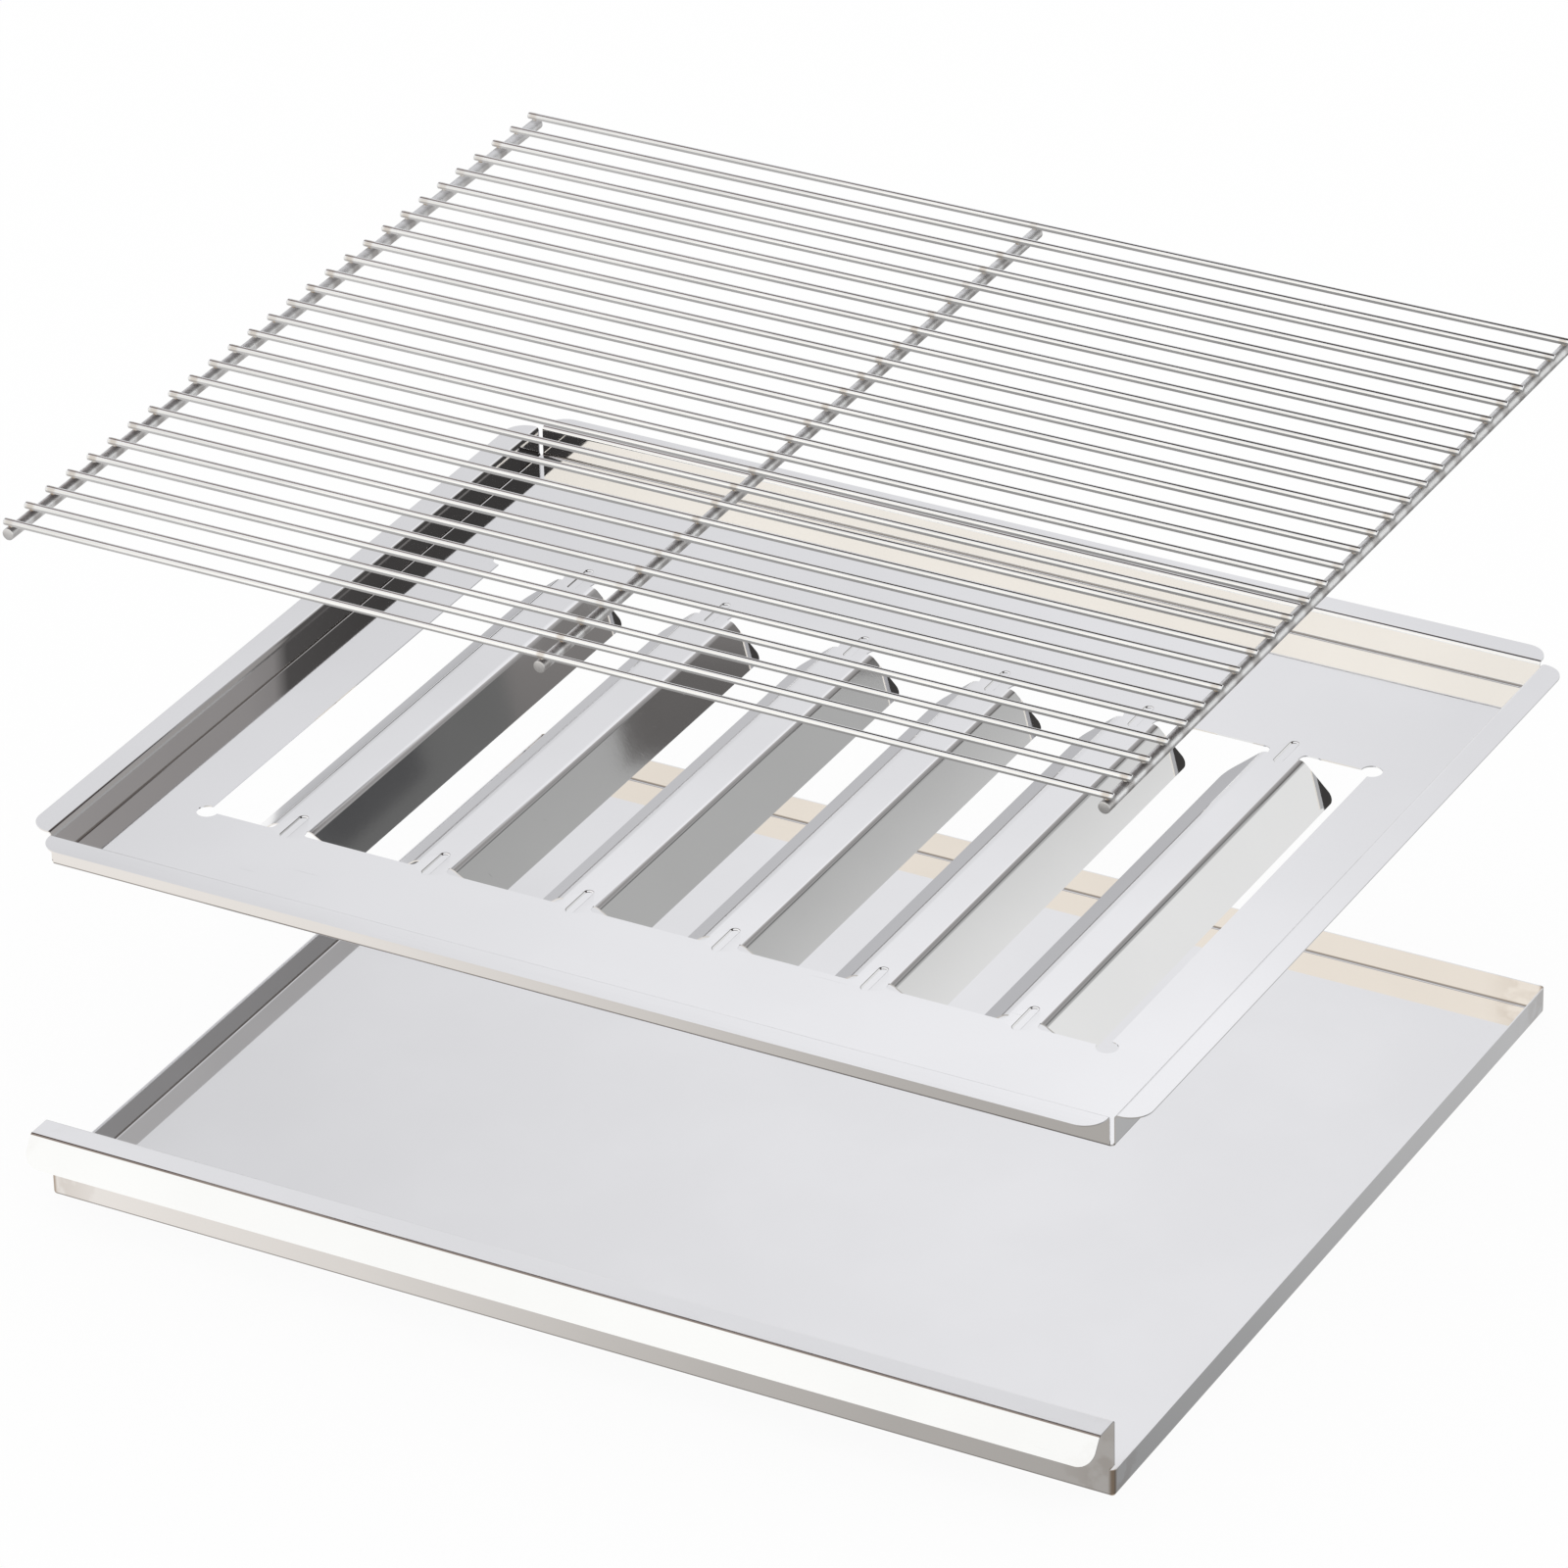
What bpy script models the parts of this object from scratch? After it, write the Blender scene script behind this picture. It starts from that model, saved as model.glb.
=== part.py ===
"""Inserts of a counter-top gas grill: wire cooking grate, deflector pan and drip tray.

The three polished steel pieces stand one above the other, lifted apart. The origin is on the
floor, below the middle of the whole stack. +X runs to the right along the front edge, +Y to
the back and +Z up.
"""

import math

import bmesh
import bpy
from mathutils import Matrix, Vector

MM = 0.001
QUARTER = math.pi / 2
UP = Vector((0, 0, 1))
BACK = Vector((0, 1, 0))
RIGHT = Vector((1, 0, 0))

# Sheet that the pan and the tray are folded from
SHEET = 0.8 * MM
BEND_INSIDE = 0.7 * MM
BEND_STEPS = 3
ROUND_STEPS = 6
WELD_LIMIT = 0.0001 * MM

# Drip tray
TRAY_WIDTH = 670 * MM
TRAY_DEPTH = 557 * MM
TRAY_WALL = 17 * MM
TRAY_FRONT_WALL = 50 * MM
HANDLE_TOP = 16.5 * MM
HANDLE_BEND_INSIDE = 1.1 * MM
HANDLE_LIP = 19 * MM
HANDLE_LIP_ANGLE = math.radians(55)
HANDLE_LIP_ROUND = 10 * MM

# Deflector pan
PAN_SIDE_INSET = 6 * MM
PAN_SETBACK = 12 * MM
PAN_HEIGHT = 19.5 * MM
PAN_FLANGE = 15.5 * MM
PAN_FLANGE_END_FLAT = 0.5 * MM
PAN_LIFTED = 211 * MM
OPENING_SIDE = 48 * MM
OPENING_FRONT = 88 * MM
OPENING_BACK = 127 * MM
OPENING_RELIEF = 6.25 * MM
RELIEF_STEPS = 9

# Deflectors, which stay joined to the pan's floor by a neck at each end, and the
# sheet that is cut away between the wings of two neighbours
DEFLECTOR_COUNT = 6
DEFLECTOR_STRIP = 22.5 * MM
DEFLECTOR_SIDE_GAP = 41 * MM
WING_CUT_OUT = 11 * MM
WING_ANGLE = math.radians(38)
WING_LEAN = 4 * MM
WING_ROUND = 6 * MM
WING_ROUND_STEPS = 4
NECK_RELIEF = 3.25 * MM
NECK_RELIEF_INTO_STRIP = 1.5 * MM
NECK_STEPS = 5

# Stiffening bead pressed into each neck
BEAD_LENGTH = 27 * MM
BEAD_WIDTH = 6.4 * MM
BEAD_DEPTH = 1 * MM
BEAD_SLOPE = 1 * MM
BEAD_STEPS = 5
BEAD_INSIDE_FRONT = 7 * MM
BEAD_INSIDE_BACK = 1.2 * MM

# Cooking grate
ROD_COUNT = 28
ROD_DIAMETER = 4 * MM
ROD_OVERHANG = 4 * MM
ROD_END_ROUND = 0.8 * MM
ROD_SIDES = 12
ROD_BEYOND_PAN_WALL = 11 * MM
CROSS_ROD_DIAMETER = 7 * MM
CROSS_ROD_SIDES = 16
CROSS_ROD_END_ROUND = 0.5 * MM
CROSS_ROD_OVERHANG = 3.5 * MM
CROSS_ROD_OUTSIDE_WALL = 2 * MM
CROSS_ROD_PLACES = {"left": -1, "middle": 0, "right": 1}
WELD_GAP = 0.3 * MM
GRATE_LIFTED = 430 * MM

# Sizes that follow from those above
HALF_SHEET = SHEET / 2
BEND_MIDDLE = BEND_INSIDE + HALF_SHEET
HANDLE_BEND_MIDDLE = HANDLE_BEND_INSIDE + HALF_SHEET
PAN_WIDTH = TRAY_WIDTH - 2 * PAN_SIDE_INSET
PAN_DEPTH = TRAY_DEPTH - PAN_SETBACK
LIP_REACH = HANDLE_LIP * math.cos(HANDLE_LIP_ANGLE) + HALF_SHEET * math.sin(HANDLE_LIP_ANGLE)
FRONT_REACH = HANDLE_TOP + LIP_REACH
BACK_REACH = PAN_SETBACK + PAN_DEPTH + PAN_FLANGE
TRAY_FRONT_Y = (FRONT_REACH - BACK_REACH) / 2
TRAY_MIDDLE_Y = TRAY_FRONT_Y + TRAY_DEPTH / 2
PAN_MIDDLE_Y = TRAY_FRONT_Y + PAN_SETBACK + PAN_DEPTH / 2
OPENING_LENGTH = PAN_DEPTH - OPENING_FRONT - OPENING_BACK
OPENING_WIDTH = PAN_WIDTH - 2 * OPENING_SIDE
DEFLECTOR_SPREAD = OPENING_WIDTH - 2 * DEFLECTOR_SIDE_GAP - DEFLECTOR_STRIP
DEFLECTOR_PITCH = DEFLECTOR_SPREAD / (DEFLECTOR_COUNT - 1)
WING_SHEET = (DEFLECTOR_PITCH - DEFLECTOR_STRIP - WING_CUT_OUT) / 2
WING_LENGTH = WING_SHEET - BEND_MIDDLE * WING_ANGLE
CROSS_ROD_SPREAD = PAN_WIDTH / 2 + CROSS_ROD_OUTSIDE_WALL
ROD_LENGTH = 2 * (CROSS_ROD_SPREAD + ROD_OVERHANG)
ROD_SPAN = PAN_DEPTH + 2 * ROD_BEYOND_PAN_WALL
ROD_PITCH = ROD_SPAN / (ROD_COUNT - 1)
CROSS_ROD_LENGTH = ROD_SPAN + 2 * CROSS_ROD_OVERHANG
CROSS_ROD_DROP = (ROD_DIAMETER + CROSS_ROD_DIAMETER) / 2 + WELD_GAP

POLISHED_SHEET = {"colour": (0.80, 0.80, 0.81, 1), "roughness": 0.22}
POLISHED_WIRE = {"colour": (0.72, 0.73, 0.73, 1), "roughness": 0.12}


def clear_scene():
    for thing in list(bpy.data.objects):
        bpy.data.objects.remove(thing)


def steel(name, colour, roughness):
    material = bpy.data.materials.new(name)
    material.use_nodes = True
    shader = material.node_tree.nodes["Principled BSDF"]
    shader.inputs["Base Color"].default_value = colour
    shader.inputs["Metallic"].default_value = 1
    shader.inputs["Roughness"].default_value = roughness
    material.diffuse_color = colour
    return material


def add_object(name, shape, material, place, parent=None):
    """Makes an object of the bmesh at a place in the world."""
    mesh = bpy.data.meshes.new(name)
    bmesh.ops.remove_doubles(shape, verts=shape.verts, dist=WELD_LIMIT)
    bmesh.ops.recalc_face_normals(shape, faces=shape.faces)
    shape.to_mesh(mesh)
    shape.free()
    mesh.materials.append(material)
    mesh.shade_smooth()
    mesh.set_sharp_from_angle(angle=math.radians(35))
    made = bpy.data.objects.new(name, mesh)
    bpy.context.scene.collection.objects.link(made)
    made.location = place if parent is None else place - parent.location
    made.parent = parent
    return made


def thicken(made):
    """Gives a folded middle surface the thickness of the sheet."""
    wall = made.modifiers.new("sheet", "SOLIDIFY")
    wall.thickness = SHEET
    wall.offset = 0
    wall.use_even_offset = True


def arc(centre, radius, start, end, steps):
    """Points of an arc in the floor's plane, anticlockwise, with both ends."""
    angles = [start + (end - start) * step / steps for step in range(steps + 1)]
    return [centre + radius * Vector((math.cos(a), math.sin(a), 0)) for a in angles]


def closed_loop(shape, points):
    """Adds the outline's points and the edges round it, in order."""
    corners = [shape.verts.new(point) for point in points]
    return [shape.edges.new((a, b)) for a, b in zip(corners, corners[1:] + corners[:1])]


def of_kind(found, kind):
    return [item for item in found if isinstance(item, kind)]


def middle_of(edges):
    ends = {corner for edge in edges for corner in edge.verts}
    return sum((corner.co for corner in ends), Vector()) / len(ends)


class Fold:
    """The free edge of a sheet, which is drawn out flat or bent like in a press brake."""

    def __init__(self, shape, edges, outward, towards):
        self.shape = shape
        self.edges = edges
        self.outward = outward.copy()
        self.towards = towards.copy()

    def draw(self, length):
        """Lengthens the sheet straight on."""
        made = bmesh.ops.extrude_edge_only(self.shape, edges=self.edges)["geom"]
        corners = of_kind(made, bmesh.types.BMVert)
        bmesh.ops.translate(self.shape, verts=corners, vec=self.outward * length)
        self.edges = of_kind(made, bmesh.types.BMEdge)
        return corners

    def bend(self, angle, radius, side=1):
        """Bends the sheet to its towards side, or with side -1 away from it."""
        towards = self.towards * side
        axis = self.outward.cross(towards)
        made = bmesh.ops.spin(
            self.shape,
            geom=self.edges,
            cent=middle_of(self.edges) + towards * radius,
            axis=axis,
            angle=angle,
            steps=BEND_STEPS,
            use_duplicate=False,
        )
        self.edges = of_kind(made["geom_last"], bmesh.types.BMEdge)
        turn = Matrix.Rotation(angle, 3, axis)
        self.outward = turn @ self.outward
        self.towards = turn @ self.towards


def round_corners(shape, corners, radius, steps):
    bmesh.ops.bevel(
        shape,
        geom=corners,
        offset=radius,
        offset_type="OFFSET",
        segments=steps,
        profile=0.5,
        affect="VERTICES",
        material=-1,
    )


def rounded_rectangle(width, depth, radius, height):
    """Outline at one height, with the same number of points whatever its size."""
    points = []
    for quarter, (side, end) in enumerate(((1, 1), (-1, 1), (-1, -1), (1, -1))):
        centre = Vector((side * (width / 2 - radius), end * (depth / 2 - radius), height))
        points += arc(centre, radius, quarter * QUARTER, (quarter + 1) * QUARTER, BEND_STEPS)
    return points


def tray_basin(shape):
    """Floor and four low walls with welded, rounded corners. Returns the front wall's rim."""
    flat_width = TRAY_WIDTH - SHEET - 2 * BEND_MIDDLE
    flat_depth = TRAY_DEPTH - SHEET - 2 * BEND_MIDDLE
    turns = [QUARTER * step / BEND_STEPS for step in range(BEND_STEPS + 1)]
    stages = [(BEND_MIDDLE * math.sin(a), BEND_MIDDLE * (1 - math.cos(a))) for a in turns]
    stages.append((BEND_MIDDLE, TRAY_WALL - HALF_SHEET))
    rim = None
    for outset, rise in stages:
        ring = closed_loop(
            shape,
            rounded_rectangle(
                flat_width + 2 * outset,
                flat_depth + 2 * outset,
                BEND_MIDDLE + outset,
                HALF_SHEET + rise,
            ),
        )
        if rim is None:
            bmesh.ops.contextual_create(shape, geom=ring)
        else:
            bmesh.ops.bridge_loops(shape, edges=rim + ring)
        rim = ring
    return [edge for edge in rim if edge.calc_length() > flat_width / 2 and middle_of([edge]).y < 0]


def tray_front(shape, rim):
    """Tall front wall, folded forward at its top and then down into the handle's lip."""
    fold = Fold(shape, rim, UP, -BACK)
    full = TRAY_WIDTH / 2
    for corner in fold.draw(2 * BEND_MIDDLE):
        corner.co.x = math.copysign(full, corner.co.x)
    low = TRAY_WALL + 2 * BEND_MIDDLE
    fold.draw(TRAY_FRONT_WALL - HALF_SHEET - BEND_MIDDLE - low)
    fold.bend(QUARTER, BEND_MIDDLE)
    lip_bend_run = HANDLE_BEND_MIDDLE * math.tan(HANDLE_LIP_ANGLE / 2)
    fold.draw(HANDLE_TOP + HALF_SHEET - BEND_MIDDLE - lip_bend_run)
    fold.bend(HANDLE_LIP_ANGLE, HANDLE_BEND_MIDDLE)
    corners = fold.draw(HANDLE_LIP - lip_bend_run)
    round_corners(shape, corners, HANDLE_LIP_ROUND, ROUND_STEPS)


def drip_tray(material):
    shape = bmesh.new()
    tray_front(shape, tray_basin(shape))
    made = add_object("drip_tray", shape, material, Vector((0, TRAY_MIDDLE_Y, 0)))
    thicken(made)
    return made


def pan_walls(shape, floor_edges):
    """Folds up the four walls and folds each one out into a flange with rounded ends."""
    for edge in floor_edges:
        middle = middle_of([edge])
        across = RIGHT if abs(middle.x) > abs(middle.y) else BACK
        fold = Fold(shape, [edge], across * math.copysign(1, middle.dot(across)), UP)
        fold.bend(QUARTER, BEND_MIDDLE)
        fold.draw(PAN_HEIGHT - SHEET - 2 * BEND_MIDDLE)
        fold.bend(QUARTER, BEND_MIDDLE, side=-1)
        flange = PAN_FLANGE + HALF_SHEET - BEND_MIDDLE
        round_corners(shape, fold.draw(flange), flange - PAN_FLANGE_END_FLAT, ROUND_STEPS)


def opening_corner(x, y):
    """Round relief at an outer corner of the opening, from its side to its front edge."""
    return arc(Vector((x, y, 0)), OPENING_RELIEF, QUARTER, 4 * QUARTER, RELIEF_STEPS)


def neck_corner(x, y):
    """Round relief between a deflector's neck and the front edge, from bend to front edge."""
    beyond = NECK_RELIEF - NECK_RELIEF_INTO_STRIP
    start = math.acos(-beyond / NECK_RELIEF)
    centre = Vector((x + beyond, y + NECK_RELIEF, 0))
    return arc(centre, NECK_RELIEF, start, 3 * QUARTER, NECK_STEPS)


def mirrored(points, across_x, across_y):
    """Mirrors a front left corner to another one, keeping the outline anticlockwise."""
    turned = [Vector((p.x * across_x, p.y * across_y, p.z)) for p in points]
    return turned if across_x == across_y else turned[::-1]


def slot_outline(left, right, left_is_bar, right_is_bar):
    """Outline of the gap beside a deflector, and where its two long edges lie in it."""
    low = -PAN_DEPTH / 2 + OPENING_FRONT
    high = low + OPENING_LENGTH
    left_corner = neck_corner if left_is_bar else opening_corner
    right_corner = neck_corner if right_is_bar else opening_corner
    points = list(left_corner(left, low))
    points += mirrored(right_corner(-right, low), -1, 1)
    right_edge = len(points) - 1
    points += mirrored(right_corner(-right, -high), -1, -1)
    points += mirrored(left_corner(left, -high), 1, -1)
    return points, len(points) - 1, right_edge


def bead_outline(x, y):
    """Stadium outline of one bead, with its long side along Y."""
    radius = BEAD_WIDTH / 2
    half = BEAD_LENGTH / 2 - radius
    far = arc(Vector((x, y + half, 0)), radius, 0, 2 * QUARTER, BEAD_STEPS)
    near = arc(Vector((x, y - half, 0)), radius, 2 * QUARTER, 4 * QUARTER, BEAD_STEPS)
    return far + near


def press_bead(shape, edges):
    """Presses the sheet inside the outline down, with sloping sides."""
    centre = middle_of(edges)
    half = BEAD_LENGTH / 2 - BEAD_WIDTH / 2
    made = bmesh.ops.extrude_edge_only(shape, edges=edges)["geom"]
    for corner in of_kind(made, bmesh.types.BMVert):
        along = max(-half, min(half, corner.co.y - centre.y))
        inward = (Vector((centre.x, centre.y + along, corner.co.z)) - corner.co).normalized()
        corner.co += inward * BEAD_SLOPE - UP * BEAD_DEPTH
    bmesh.ops.contextual_create(shape, geom=of_kind(made, bmesh.types.BMEdge))


def fold_wing(shape, edge, outward):
    """Bends one wing of a deflector down, with leaning ends and rounded corners."""
    fold = Fold(shape, [edge], outward, -UP)
    fold.bend(WING_ANGLE, BEND_MIDDLE)
    corners = fold.draw(WING_LENGTH)
    middle = middle_of(fold.edges)
    for corner in corners:
        corner.co.y -= math.copysign(WING_LEAN, corner.co.y - middle.y)
    round_corners(shape, corners, WING_ROUND, WING_ROUND_STEPS)


def deflector_centres():
    first = -DEFLECTOR_SPREAD / 2
    return [first + DEFLECTOR_PITCH * place for place in range(DEFLECTOR_COUNT)]


def deflector_pan(material):
    """One sheet: floor, walls, flanges and the six deflectors that span the opening."""
    shape = bmesh.new()
    side = PAN_WIDTH / 2 - HALF_SHEET - BEND_MIDDLE
    end = PAN_DEPTH / 2 - HALF_SHEET - BEND_MIDDLE
    outline = [Vector((x * side, y * end, 0)) for x, y in ((-1, -1), (1, -1), (1, 1), (-1, 1))]
    floor_edges = closed_loop(shape, outline)
    outlines = list(floor_edges)
    reach = OPENING_WIDTH / 2
    half_strip = DEFLECTOR_STRIP / 2
    centres = deflector_centres()
    wings = []
    for place in range(DEFLECTOR_COUNT + 1):
        left_is_bar = place > 0
        right_is_bar = place < DEFLECTOR_COUNT
        left = centres[place - 1] + half_strip if left_is_bar else -reach
        right = centres[place] - half_strip if right_is_bar else reach
        points, left_edge, right_edge = slot_outline(left, right, left_is_bar, right_is_bar)
        edges = closed_loop(shape, points)
        outlines += edges
        if left_is_bar:
            wings.append((edges[left_edge], RIGHT))
        if right_is_bar:
            wings.append((edges[right_edge], -RIGHT))
    low = -PAN_DEPTH / 2 + OPENING_FRONT + BEAD_INSIDE_FRONT
    high = PAN_DEPTH / 2 - OPENING_BACK - BEAD_INSIDE_BACK
    beads = [closed_loop(shape, bead_outline(x, y)) for x in centres for y in (low, high)]
    for bead in beads:
        outlines += bead
    bmesh.ops.triangle_fill(shape, edges=outlines, use_beauty=True, normal=UP)
    for bead in beads:
        press_bead(shape, bead)
    for edge, outward in wings:
        fold_wing(shape, edge, outward)
    pan_walls(shape, floor_edges)
    place = Vector((0, PAN_MIDDLE_Y, PAN_LIFTED + HALF_SHEET))
    made = add_object("deflector_pan", shape, material, place)
    thicken(made)
    return made


def straight_rod(length, diameter, sides, end_round, along):
    """A round rod about its middle, with rounded ends."""
    shape = bmesh.new()
    bmesh.ops.create_cone(
        shape,
        cap_ends=True,
        segments=sides,
        radius1=diameter / 2,
        radius2=diameter / 2,
        depth=length,
    )
    rims = [e for e in shape.edges if abs(e.verts[0].co.z - e.verts[1].co.z) < length / 2]
    bmesh.ops.bevel(
        shape,
        geom=rims,
        offset=end_round,
        offset_type="OFFSET",
        segments=1,
        profile=0.5,
        affect="EDGES",
        material=-1,
    )
    turn = UP.rotation_difference(along).to_matrix()
    bmesh.ops.rotate(shape, verts=shape.verts, cent=Vector(), matrix=turn)
    return shape


def cooking_grate(material):
    """Thin rods side to side on three thicker rods, welded where they cross."""
    lift = bpy.data.objects.new("grate_lift", None)
    lift.location = Vector((0, PAN_MIDDLE_Y, GRATE_LIFTED))
    bpy.context.scene.collection.objects.link(lift)
    front = PAN_MIDDLE_Y - ROD_SPAN / 2
    for number in range(ROD_COUNT):
        shape = straight_rod(ROD_LENGTH, ROD_DIAMETER, ROD_SIDES, ROD_END_ROUND, RIGHT)
        place = Vector((0, front + number * ROD_PITCH, GRATE_LIFTED))
        add_object(f"grate_rod_{number + 1:02d}", shape, material, place, lift)
    for name, side in CROSS_ROD_PLACES.items():
        shape = straight_rod(
            CROSS_ROD_LENGTH, CROSS_ROD_DIAMETER, CROSS_ROD_SIDES, CROSS_ROD_END_ROUND, BACK
        )
        place = Vector((side * CROSS_ROD_SPREAD, PAN_MIDDLE_Y, GRATE_LIFTED - CROSS_ROD_DROP))
        add_object(f"cross_rod_{name}", shape, material, place, lift)


def main():
    clear_scene()
    sheet = steel("polished_sheet", **POLISHED_SHEET)
    wire = steel("polished_wire", **POLISHED_WIRE)
    drip_tray(sheet)
    deflector_pan(sheet)
    cooking_grate(wire)


main()
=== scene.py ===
"""Looks of a gas grill's three loose inserts: cooking grate, deflector pan and drip tray.

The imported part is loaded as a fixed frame. Finer meshes of the same sheets and wires stand
for its nodes, with the bends, pressed beads and welds that the polished steel mirrors.
"""

import logging
import math
from dataclasses import dataclass
from enum import Enum

import bmesh
import bpy
from mathutils import Matrix, Vector


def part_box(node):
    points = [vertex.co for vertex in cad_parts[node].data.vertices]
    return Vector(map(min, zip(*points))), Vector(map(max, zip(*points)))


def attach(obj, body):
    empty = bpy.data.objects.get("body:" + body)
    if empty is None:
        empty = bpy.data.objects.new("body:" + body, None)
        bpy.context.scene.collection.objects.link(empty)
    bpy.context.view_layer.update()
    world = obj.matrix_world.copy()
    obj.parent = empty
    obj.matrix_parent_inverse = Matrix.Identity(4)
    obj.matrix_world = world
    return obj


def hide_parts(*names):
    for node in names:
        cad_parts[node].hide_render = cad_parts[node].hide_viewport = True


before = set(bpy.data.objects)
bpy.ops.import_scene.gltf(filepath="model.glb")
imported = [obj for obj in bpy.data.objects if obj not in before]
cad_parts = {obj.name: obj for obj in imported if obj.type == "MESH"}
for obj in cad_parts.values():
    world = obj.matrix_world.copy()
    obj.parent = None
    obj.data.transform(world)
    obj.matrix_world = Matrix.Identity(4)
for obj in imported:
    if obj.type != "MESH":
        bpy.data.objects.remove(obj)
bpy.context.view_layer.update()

logging.basicConfig(level=logging.INFO, format="%(message)s")
log = logging.getLogger("grill_inserts")

MM = 0.001
QUARTER = math.pi / 2
UP = Vector((0, 0, 1))
BACK = Vector((0, 1, 0))
RIGHT = Vector((1, 0, 0))
MERGE = 0.0001 * MM
# The larger of this and an offset keeps X and Y, and is 0 in Z below the top.
ONLY_ABOVE = (-10, -10, 0)
# Noise between these values turns into a dull stain.
STAIN_RANGE = (0.45, 0.75)
# Brightness of a studio card where its ramp is white.
RAMP_TOP = 2.0
Triple = tuple[float, float, float]
Colour = Triple
Span = tuple[float, float]
Stops = tuple[tuple[float, float], ...]
Socket = bpy.types.NodeSocket
Mesh = bmesh.types.BMesh
Edges = list[bmesh.types.BMEdge]
Corners = list[bmesh.types.BMVert]


class Body(Enum):
    """Bodies of the part that pieces ride on."""

    GRATE = "cooking_grate"
    PAN = "deflector_pan"
    TRAY = "drip_tray"


class Slot(Enum):
    """Material slots of the record."""

    SHEET = "polished_sheet"
    WIRE = "polished_wire"


class Nodes:
    """Adds shader nodes to a tree and joins them up."""

    def __init__(self, tree: bpy.types.NodeTree) -> None:
        """Keeps the tree."""
        self.tree = tree

    def add(self, kind: str, inputs: dict | None = None, **settings: object) -> bpy.types.Node:
        """Adds a node.

        Args:
            kind: The node's type name, such as ShaderNodeMath.
            inputs: Values or output sockets for inputs, by name or number.
            settings: Properties of the node.

        Returns:
            The new node.
        """
        node = self.tree.nodes.new(kind)
        for name, value in settings.items():
            setattr(node, name, value)
        for name, value in (inputs or {}).items():
            if isinstance(value, Socket):
                self.tree.links.new(value, node.inputs[name])
            else:
                node.inputs[name].default_value = value
        return node

    def place(self) -> Socket:
        """Object coordinates, which on every piece are the part's own."""
        return self.add("ShaderNodeTexCoord").outputs["Object"]

    def math(self, operation: str, *values: Socket | float) -> Socket:
        """Joins values with a Math node and returns its result."""
        return self.add("ShaderNodeMath", dict(enumerate(values)), operation=operation).outputs[0]

    def vector(self, operation: str, first: Socket, second: Vector | Triple) -> Socket:
        """Joins two vectors with a Vector Math node and returns the new one."""
        inputs = {0: first, 1: second}
        return self.add("ShaderNodeVectorMath", inputs, operation=operation).outputs[0]

    def reach(self, place: Socket, way: Vector) -> Socket:
        """How far a place lies along a way."""
        inputs = {0: place, 1: way}
        return self.add("ShaderNodeVectorMath", inputs, operation="DOT_PRODUCT").outputs[1]

    def length(self, offset: Socket) -> Socket:
        """The length of an offset."""
        return self.add("ShaderNodeVectorMath", {0: offset}, operation="LENGTH").outputs[1]

    def remap(
        self, value: Socket, low: float, high: float, start: float = 0, end: float = 1
    ) -> Socket:
        """Maps a value smoothly to another range, and holds its ends beyond it.

        Args:
            value: The value.
            low: Where the first range starts.
            high: Where it ends.
            start: Result at low.
            end: Result at high.

        Returns:
            The result.
        """
        node = self.add(
            "ShaderNodeMapRange",
            {"Value": value, "From Min": low, "From Max": high, "To Min": start, "To Max": end},
            interpolation_type="SMOOTHSTEP",
        )
        return node.outputs[0]

    def noise(self, place: Socket, scale: float, detail: float) -> Socket:
        """Smooth noise from 0 to 1 at a place."""
        node = self.add("ShaderNodeTexNoise", {"Vector": place, "Scale": scale, "Detail": detail})
        return node.outputs[0]

    def stretch(self, place: Socket, scale: Vector | Triple, turn: float = 0) -> Socket:
        """A place turned about Z and scaled unevenly, for a pattern that runs one way."""
        inputs = {"Vector": place, "Rotation": (0, 0, turn), "Scale": scale}
        return self.add("ShaderNodeMapping", inputs).outputs[0]

    def mix(self, share: Socket, first: Socket | Colour, second: Colour) -> Socket:
        """Blends two colours.

        Args:
            share: Share of the second colour.
            first: The first colour, or a socket that gives it.
            second: The second colour.

        Returns:
            The blend.
        """
        if not isinstance(first, Socket):
            first = (*first, 1)
        inputs = {0: share, 6: first, 7: (*second, 1)}
        return self.add("ShaderNodeMix", inputs, data_type="RGBA").outputs[2]

    def bump(self, height: Socket, distance: float, below: Socket | None = None) -> Socket:
        """Raises a surface by a height.

        Args:
            height: The height, from 0 to 1.
            distance: What a height of 1 stands for.
            below: Normal of the bump that this one lies on.

        Returns:
            The new normal.
        """
        inputs = {"Height": height, "Strength": 1.0, "Distance": distance}
        if below is not None:
            inputs["Normal"] = below
        return self.add("ShaderNodeBump", inputs).outputs[0]

    def metal(self, colour: Socket, rough: Socket, normal: Socket) -> None:
        """Ends the tree in a metal surface.

        Args:
            colour: The metal's colour.
            rough: Its roughness.
            normal: Its normal.
        """
        shader = self.add(
            "ShaderNodeBsdfPrincipled",
            {"Base Color": colour, "Roughness": rough, "Metallic": 1.0, "Normal": normal},
        )
        self.add("ShaderNodeOutputMaterial", {"Surface": shader.outputs[0]})


def new_material(name: str) -> tuple[bpy.types.Material, Nodes]:
    """Makes a material with an empty node tree.

    Args:
        name: The material's name.

    Returns:
        The material and the helper for its nodes.
    """
    material = bpy.data.materials.new(name)
    material.use_nodes = True
    material.node_tree.nodes.clear()
    return material, Nodes(material.node_tree)


def shade(colour: Colour, share: float) -> Colour:
    """A colour's darker shade."""
    return tuple(share * part for part in colour)


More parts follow.
